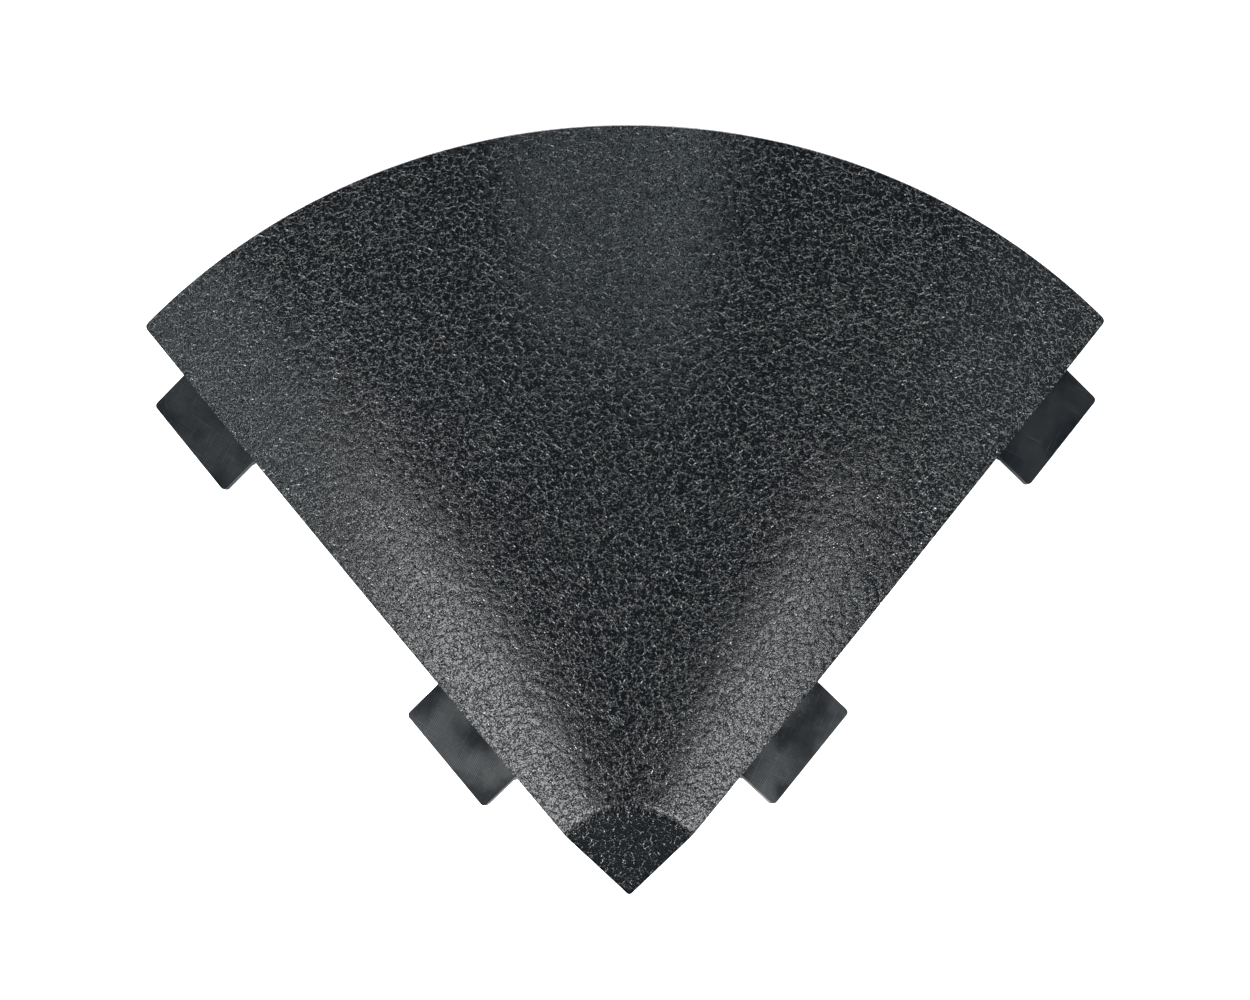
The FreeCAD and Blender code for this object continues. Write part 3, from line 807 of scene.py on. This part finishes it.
    def runs_round(self, edge: bmesh.types.BMEdge, least: float) -> bool:
        """Test whether an edge runs round the turn.

        Args:
            edge: Edge of the shell.
            least: Plan radius that it has to be at or past.

        Returns:
            True if it does.
        """
        a, b = (v.co for v in edge.verts)
        ra, rb = math.hypot(a.x, a.y), math.hypot(b.x, b.y)
        return abs(ra - rb) <= SAME and abs(a.z - b.z) <= SAME and ra >= least

    def on_outer_face(self, place: Vector) -> bool:
        """Test whether a point of the sheet is on its outer face or its toe.

        Args:
            place: The point.

        Returns:
            False if it is on the underside.
        """
        out = math.hypot(place.x, place.y)
        face = self.rise - self.bend_radius
        if out > self.landing_flat + self.bend_radius:
            face = self.slope_height(out)
        return out > self.radius - 5 * SAME or place.z > face - self.thickness / 2

    def refine(self, piece: bpy.types.Object) -> None:
        """Double the steps round the turn, band by band, so that they stay close to square.

        Args:
            piece: The swept shell, in edit mode.
        """
        for level in range(self.finest):
            least = self.first_steps * self.spacing / QUARTER_TURN * 2**level
            both_faces = level < self.under_finest
            select(piece, Part.EDGE, lambda e: self.runs_round(e, least)
                   and (both_faces or self.on_outer_face(e.verts[0].co)))
            bpy.ops.mesh.subdivide(number_cuts=1, quadcorner="STRAIGHT_CUT")
            self.true_up(piece)

    @staticmethod
    def true_up(piece: bpy.types.Object) -> None:
        """Move the new points from their chords out to their circles.

        Args:
            piece: The shell, in edit mode with the cut edges still selected.
        """
        mesh = bmesh.from_edit_mesh(piece.data)
        for vertex in mesh.verts:
            if not vertex.select:
                continue
            here = math.hypot(vertex.co.x, vertex.co.y)
            others = (e.other_vert(vertex).co for e in vertex.link_edges if e.select)
            full = max((math.hypot(o.x, o.y) for o in others if abs(o.z - vertex.co.z) < ON_PLANE),
                       default=here)
            if full - here > LEAST_MOVE:
                vertex.co.x *= full / here
                vertex.co.y *= full / here
        bmesh.update_edit_mesh(piece.data)

    def round_corners(self, piece: bpy.types.Object) -> None:
        """Trim the two outer corners and the apex round, in plan.

        Args:
            piece: The shell, in edit mode.
        """
        fillet = self.outer_corner_round
        reach = math.sqrt((self.radius - fillet) ** 2 - fillet**2)
        for side in Side:
            edge_out = side.outward()
            middle = side.along() * reach - edge_out * fillet
            toe_out = middle.normalized()
            inscribed = math.cos(edge_out.angle(toe_out) / 2 / self.round_cuts)
            for cut in range(self.round_cuts):
                share = (cut + 0.5) / self.round_cuts
                normal = edge_out.slerp(toe_out, share)
                self.trim(piece, middle + normal * (fillet * inscribed - self.hair), normal)
        middle = Vector((0, self.apex_round * math.sqrt(2), 0))
        inscribed = math.cos(QUARTER_TURN / 2 / self.round_cuts)
        for cut in range(self.round_cuts):
            turn = QUARTER_TURN * ((cut + 0.5) / self.round_cuts - 0.5)
            normal = Vector((math.sin(turn), -math.cos(turn), 0))
            self.trim(piece, middle + normal * (self.apex_round * inscribed - self.hair), normal)

    @staticmethod
    def trim(piece: bpy.types.Object, place: Vector, normal: Vector) -> None:
        """Cut off what lies beyond a plane, then close the open loop that the cut leaves.

        Args:
            piece: The shell, in edit mode.
            place: A point on the plane.
            normal: The plane's normal, towards what goes.
        """
        bpy.ops.mesh.select_all(action="SELECT")
        bpy.ops.mesh.bisect(plane_co=place, plane_no=normal, clear_outer=True,
                            threshold=ON_PLANE / 2)
        bpy.ops.mesh.select_all(action="SELECT")
        bpy.ops.mesh.remove_doubles(threshold=WELD)
        select(piece, Part.EDGE, lambda e: e.is_boundary)
        bpy.ops.mesh.edge_face_add()

    def engrave(self, piece: bpy.types.Object) -> None:
        """Sink the gaps between the pebbles into the top, and ease its straight edges.

        Args:
            piece: The trimmed shell, in object mode, with the top in the vertex group "top".
        """
        tree = bpy.data.node_groups.new("engrave_grain", "GeometryNodeTree")
        tree.interface.new_socket("Geometry", in_out="INPUT", socket_type="NodeSocketGeometry")
        tree.interface.new_socket("Geometry", in_out="OUTPUT", socket_type="NodeSocketGeometry")
        wires = Wires(tree)
        source, sink = wires.node("NodeGroupInput"), wires.node("NodeGroupOutput")
        place = wires.node("GeometryNodeInputPosition").outputs[0]
        top = wires.node("GeometryNodeInputNamedAttribute", {"data_type": "FLOAT"})
        top.inputs["Name"].default_value = "top"
        sunk = wires.math("MULTIPLY", wires.math("SUBTRACT", 1.0, self.grain.dome(wires, place)),
                          self.relief)
        insets = [wires.dot(place, tuple(-side.outward())) for side in Side]
        ease = wires.ramp(wires.math("MINIMUM", *insets), 0.0, self.edge_ease_width, 1.0, 0.0,
                          smooth=False)
        drop = wires.math("MULTIPLY", wires.math("POWER", ease, 2.0), self.edge_ease)
        total = wires.math("MULTIPLY", wires.math("ADD", sunk, drop), top.outputs[0])
        offset = wires.node("ShaderNodeCombineXYZ", None, Z=wires.math("MULTIPLY", total, -1.0))
        moved = wires.node("GeometryNodeSetPosition", None, Geometry=source.outputs[0],
                           Offset=offset.outputs[0])
        wires.put(sink.inputs[0], moved.outputs[0])
        make_active(piece)
        modifier = piece.modifiers.new("engrave", "NODES")
        modifier.node_group = tree
        bpy.ops.object.modifier_apply(modifier=modifier.name)
        bpy.data.node_groups.remove(tree)

    def build(self) -> bpy.types.Object:
        """Model the skin.

        Returns:
            The finished mesh object, at the origin.
        """
        piece = self.draw_profile()
        self.sweep(piece)
        self.refine(piece)
        self.round_corners(piece)
        bpy.ops.mesh.select_all(action="SELECT")
        bpy.ops.mesh.normals_make_consistent(inside=False)
        select(piece, Part.FACE, lambda f: f.normal.z > TOP_FACING)
        bpy.ops.object.vertex_group_add()
        piece.vertex_groups.active.name = "top"
        bpy.ops.object.vertex_group_assign()
        bpy.ops.object.mode_set(mode="OBJECT")
        self.engrave(piece)
        make_active(piece)
        bpy.ops.object.shade_smooth_by_angle(angle=math.radians(self.crease_angle))
        return piece

    def dress(self, piece: bpy.types.Object, finish: bpy.types.Material) -> None:
        """Give the skin its finish and its place on the part.

        Args:
            piece: The finished mesh object.
            finish: The material.
        """
        piece.data.materials.clear()
        piece.data.materials.append(finish)
        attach(piece, BODY)
        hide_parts(SKIN_NODE)


# --- CAD parts that stay ---------------------------------------------------------------------------


@dataclass(frozen=True)
class CarriedParts:
    """CAD nodes that stay as they are and get one finish."""

    title: str
    names: tuple[str, ...]

    def dress(self, nodes: dict[str, bpy.types.Object], finish: bpy.types.Material) -> int:
        """Assign the finish to each node's material slots.

        Args:
            nodes: CAD objects by name.
            finish: The material.

        Returns:
            How many nodes were dressed.
        """
        for name in self.names:
            piece = nodes[name]
            if not piece.material_slots:
                raise RuntimeError(f"{name} has no material slot")
            for place in piece.material_slots:
                place.material = finish
        return len(self.names)


def both_sides(*names: str) -> tuple[str, ...]:
    """Names with left and right put in place of the word SIDE."""
    return tuple(n.replace("SIDE", side.name.lower()) for n in names for side in Side)


# --- studio ----------------------------------------------------------------------------------------


WARM, PALE, COOL = (1.05, 1.0, 0.95), (0.94, 1.0, 1.03), (0.86, 1.0, 1.06)  # panel tints


@dataclass(frozen=True)
class Softbox:
    """Flat light panel, soft at its rims, that other panels' light passes through."""

    name: str
    azimuth: float  # degrees from +Y, towards -X
    elevation: float  # degrees
    distance: float
    width: float
    height: float
    strength: float
    soft_x: float  # share of the half width over which it fades out
    soft_y: float
    tint: tuple[float, float, float] = (1.0, 1.0, 1.0)

    def place(self, aim: Vector) -> Matrix:
        """Work out where the panel stands and how it turns.

        Args:
            aim: Point that it faces.

        Returns:
            The panel's place and turn, without its size.
        """
        az, el = math.radians(self.azimuth), math.radians(self.elevation)
        out = Vector((-math.sin(az) * math.cos(el), math.cos(az) * math.cos(el), math.sin(el)))
        turn = out.to_track_quat("Z", "Y").to_matrix().to_4x4()
        return Matrix.Translation(aim + out * self.distance) @ turn

    def build(self, aim: Vector) -> bpy.types.Object:
        """Make the panel.

        Args:
            aim: Point that it faces.

        Returns:
            The panel's object.
        """
        deselect_all()
        bpy.ops.mesh.primitive_plane_add(size=1.0)
        panel = bpy.context.object
        panel.name = self.name
        panel.matrix_world = self.place(aim) @ Matrix.Diagonal((self.width, self.height, 1, 1))
        material = bpy.data.materials.new(self.name)
        material.use_nodes = True
        wires = Wires(material.node_tree)
        material.node_tree.nodes.clear()
        place = wires.node("ShaderNodeTexCoord").outputs["Object"]
        split = wires.node("ShaderNodeSeparateXYZ", None, Vector=place)
        fades = []
        for axis, soft in (("X", self.soft_x), ("Y", self.soft_y)):
            off = wires.math("MULTIPLY", wires.math("ABSOLUTE", split.outputs[axis]), 2.0)
            fades.append(wires.ramp(off, 1.0 - soft, 1.0, 1.0, 0.0))
        glow = wires.math("MULTIPLY", *fades)
        emission = wires.node("ShaderNodeEmission", None, Color=(*self.tint, 1.0),
                              Strength=wires.math("MULTIPLY", glow, self.strength))
        clear = wires.node("ShaderNodeBsdfTransparent")
        both = wires.node("ShaderNodeAddShader")
        wires.put(both.inputs[0], emission.outputs[0])
        wires.put(both.inputs[1], clear.outputs[0])
        output = wires.node("ShaderNodeOutputMaterial")
        wires.put(output.inputs["Surface"], both.outputs[0])
        panel.data.materials.append(material)
        panel.visible_camera = False
        panel.visible_shadow = False
        return panel


@dataclass(frozen=True)
class Studio:
    """White floor, soft panels and the camera."""

    floor_size: float = 14.0
    floor_colour: float = 0.85
    floor_roughness: float = 0.9
    floor_glow: float = 1.0
    ambient: float = 0.040  # light from all round
    ambient_tint: tuple[float, float, float] = (0.74, 1.0, 1.14)
    backdrop: float = 1.0  # what the camera sees past the floor
    camera_place: tuple[float, float, float] = (-0.00370, 0.54894, 1.57084)
    camera_turn: tuple[float, float, float] = (-14.833, -0.200, -0.324)  # degrees
    lens: float = 102.88  # mm, as Blender has it
    sensor: float = 36.0  # mm
    clip: tuple[float, float] = (0.05, 50.0)
    aim: tuple[float, float, float] = (0.0, 0.19, 0.08)
    panels: tuple[Softbox, ...] = (
        Softbox("panel_left", 71.0, 55.0, 1.4, 1.05, 1.05, 6.7, 0.57, 0.5),
        Softbox("panel_right", -68.0, 56.5, 1.4, 0.95, 0.95, 5.9, 0.6, 0.45),
        Softbox("low_left", 66.0, 27.0, 1.6, 0.9, 0.55, 1.2, 0.4, 0.5, tint=COOL),
        Softbox("low_right", -62.0, 27.0, 1.6, 0.9, 0.5, 0.35, 0.4, 0.5, tint=COOL),
        Softbox("rim_left", 42.0, 66.0, 1.5, 0.8, 0.16, 5.0, 0.4, 0.5, tint=WARM),
        Softbox("rim_right", -42.0, 66.0, 1.5, 0.8, 0.16, 5.0, 0.4, 0.5, tint=WARM),
        Softbox("card", 0.8, 30.4, 1.4, 0.63, 0.52, 1.0, 0.02, 0.03, tint=COOL),
        Softbox("card_glow", -7.6, 30.4, 1.4, 0.24, 0.52, 0.60, 0.8, 0.04, tint=COOL),
        Softbox("overhead", 180.0, 71.0, 1.6, 1.0, 0.8, 0.26, 0.3, 0.3, tint=COOL),
        Softbox("kick_left", 103.0, 33.0, 1.6, 0.55, 0.7, 24.0, 0.3, 0.3, tint=PALE),
        Softbox("kick_right", -103.0, 33.0, 1.6, 0.55, 0.7, 24.0, 0.3, 0.3, tint=PALE),
    )

    def make_floor(self) -> bpy.types.Object:
        """Broad white floor that shows no horizon line, and is clear from below.

        Returns:
            The floor's object.
        """
        deselect_all()
        bpy.ops.mesh.primitive_plane_add(size=self.floor_size)
        floor = bpy.context.object
        floor.name = "studio_floor"
        material, wires, shader = start_material("studio_white")
        shader.inputs["Base Color"].default_value = grey(self.floor_colour)
        shader.inputs["Roughness"].default_value = self.floor_roughness
        shader.inputs["Emission Color"].default_value = grey(1.0)
        shader.inputs["Emission Strength"].default_value = self.floor_glow
        clear = wires.node("ShaderNodeBsdfTransparent")
        below = wires.node("ShaderNodeNewGeometry").outputs["Backfacing"]
        one_sided = wires.node("ShaderNodeMixShader")
        for socket, value in zip(one_sided.inputs, (below, shader.outputs[0], clear.outputs[0])):
            wires.put(socket, value)
        output = material.node_tree.nodes["Material Output"]
        wires.put(output.inputs["Surface"], one_sided.outputs[0])
        floor.data.materials.append(material)
        return floor

    def make_surround(self) -> None:
        """Dim even light all round, which the camera sees as white."""
        world = bpy.data.worlds.new("studio_surround")
        bpy.context.scene.world = world
        world.use_nodes = True
        wires = Wires(world.node_tree)
        world.node_tree.nodes.clear()
        seen = wires.node("ShaderNodeLightPath").outputs["Is Camera Ray"]
        strength = wires.ramp(seen, 0.0, 1.0, self.ambient, self.backdrop, smooth=False)
        tint = wires.mix(seen, (*self.ambient_tint, 1.0), grey(1.0))
        glow = wires.node("ShaderNodeBackground", None, Color=tint, Strength=strength)
        output = wires.node("ShaderNodeOutputWorld")
        wires.put(output.inputs["Surface"], glow.outputs[0])

    def make_camera(self) -> bpy.types.Object:
        """Camera high above the slope, looking down with a slight tilt.

        Returns:
            The camera's object.
        """
        data = bpy.data.cameras.new("camera")
        data.lens = self.lens
        data.sensor_width = self.sensor
        data.clip_start, data.clip_end = self.clip
        camera = bpy.data.objects.new("camera", data)
        bpy.context.scene.collection.objects.link(camera)
        camera.location = self.camera_place
        camera.rotation_euler = [math.radians(turn) for turn in self.camera_turn]
        bpy.context.scene.camera = camera
        return camera

    def build(self) -> None:
        """Set up the whole studio."""
        self.make_floor()
        self.make_surround()
        for panel in self.panels:
            panel.build(Vector(self.aim))
        self.make_camera()
        bpy.context.scene.view_settings.view_transform = "Standard"
        bpy.context.scene.view_settings.look = "None"


def main() -> None:
    """Build the pieces in order, dress them and set up the studio."""
    logging.basicConfig(level=logging.INFO, format="%(name)s: %(message)s")
    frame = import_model()
    nodes = frame["nodes"]

    grain = PebbleGrain()
    shared = Finishes(grain)
    skin_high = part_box(SKIN_NODE)[1]
    skin = RampSkin(radius=skin_high.y, rise=skin_high.z, grain=grain)
    piece = skin.build()
    skin.dress(piece, PebbledPlastic().build(shared))
    LOG.info("%s: %d faces", piece.name, len(piece.data.polygons))

    satin = SmoothPlastic("satin_black_tab", specular=0.10, hatch_shine=0.7).build(shared)
    rubbed = SmoothPlastic("rubbed_black_tab", specular=0.15, hatch_shine=0.8).build(shared)
    sheet = SmoothPlastic("black_rib_sheet", colour=0.02, roughness=0.42, dust=0.2).build(shared)
    tube = SmoothPlastic("black_drawn_tube", colour=0.025, roughness=0.36, dust=0.2).build(shared)
    rubber = MattCompound("foot_rubber", colour=0.018).build(shared)
    adhesive = MattCompound("cured_adhesive", colour=0.11, roughness=0.5, pit_size=1.6 * MM,
                            pit_depth=0.15 * MM).build(shared)
    groups = (
        (CarriedParts("upper joining tabs", both_sides("tab_SIDE_upper")), rubbed),
        (CarriedParts("lower joining tabs", both_sides("tab_SIDE_lower")), satin),
        (CarriedParts("bond pads", both_sides("bond_pad_SIDE_upper", "bond_pad_SIDE_lower")),
         adhesive),
        (CarriedParts("ribs", both_sides("side_rib_SIDE", "diagonal_rib_SIDE")
                      + ("centre_rib", "arc_rib_inner", "arc_rib_outer")), sheet),
        (CarriedParts("rubber feet", both_sides("side_foot_SIDE", "diagonal_foot_SIDE")
                      + ("centre_foot", "toe_strip", "post_foot")), rubber),
        (CarriedParts("corner post", ("corner_post",)), tube),
    )
    for parts, finish in groups:
        LOG.info("%s: %d dressed", parts.title, parts.dress(nodes, finish))

    Studio().build()


if __name__ == "__main__":
    main()
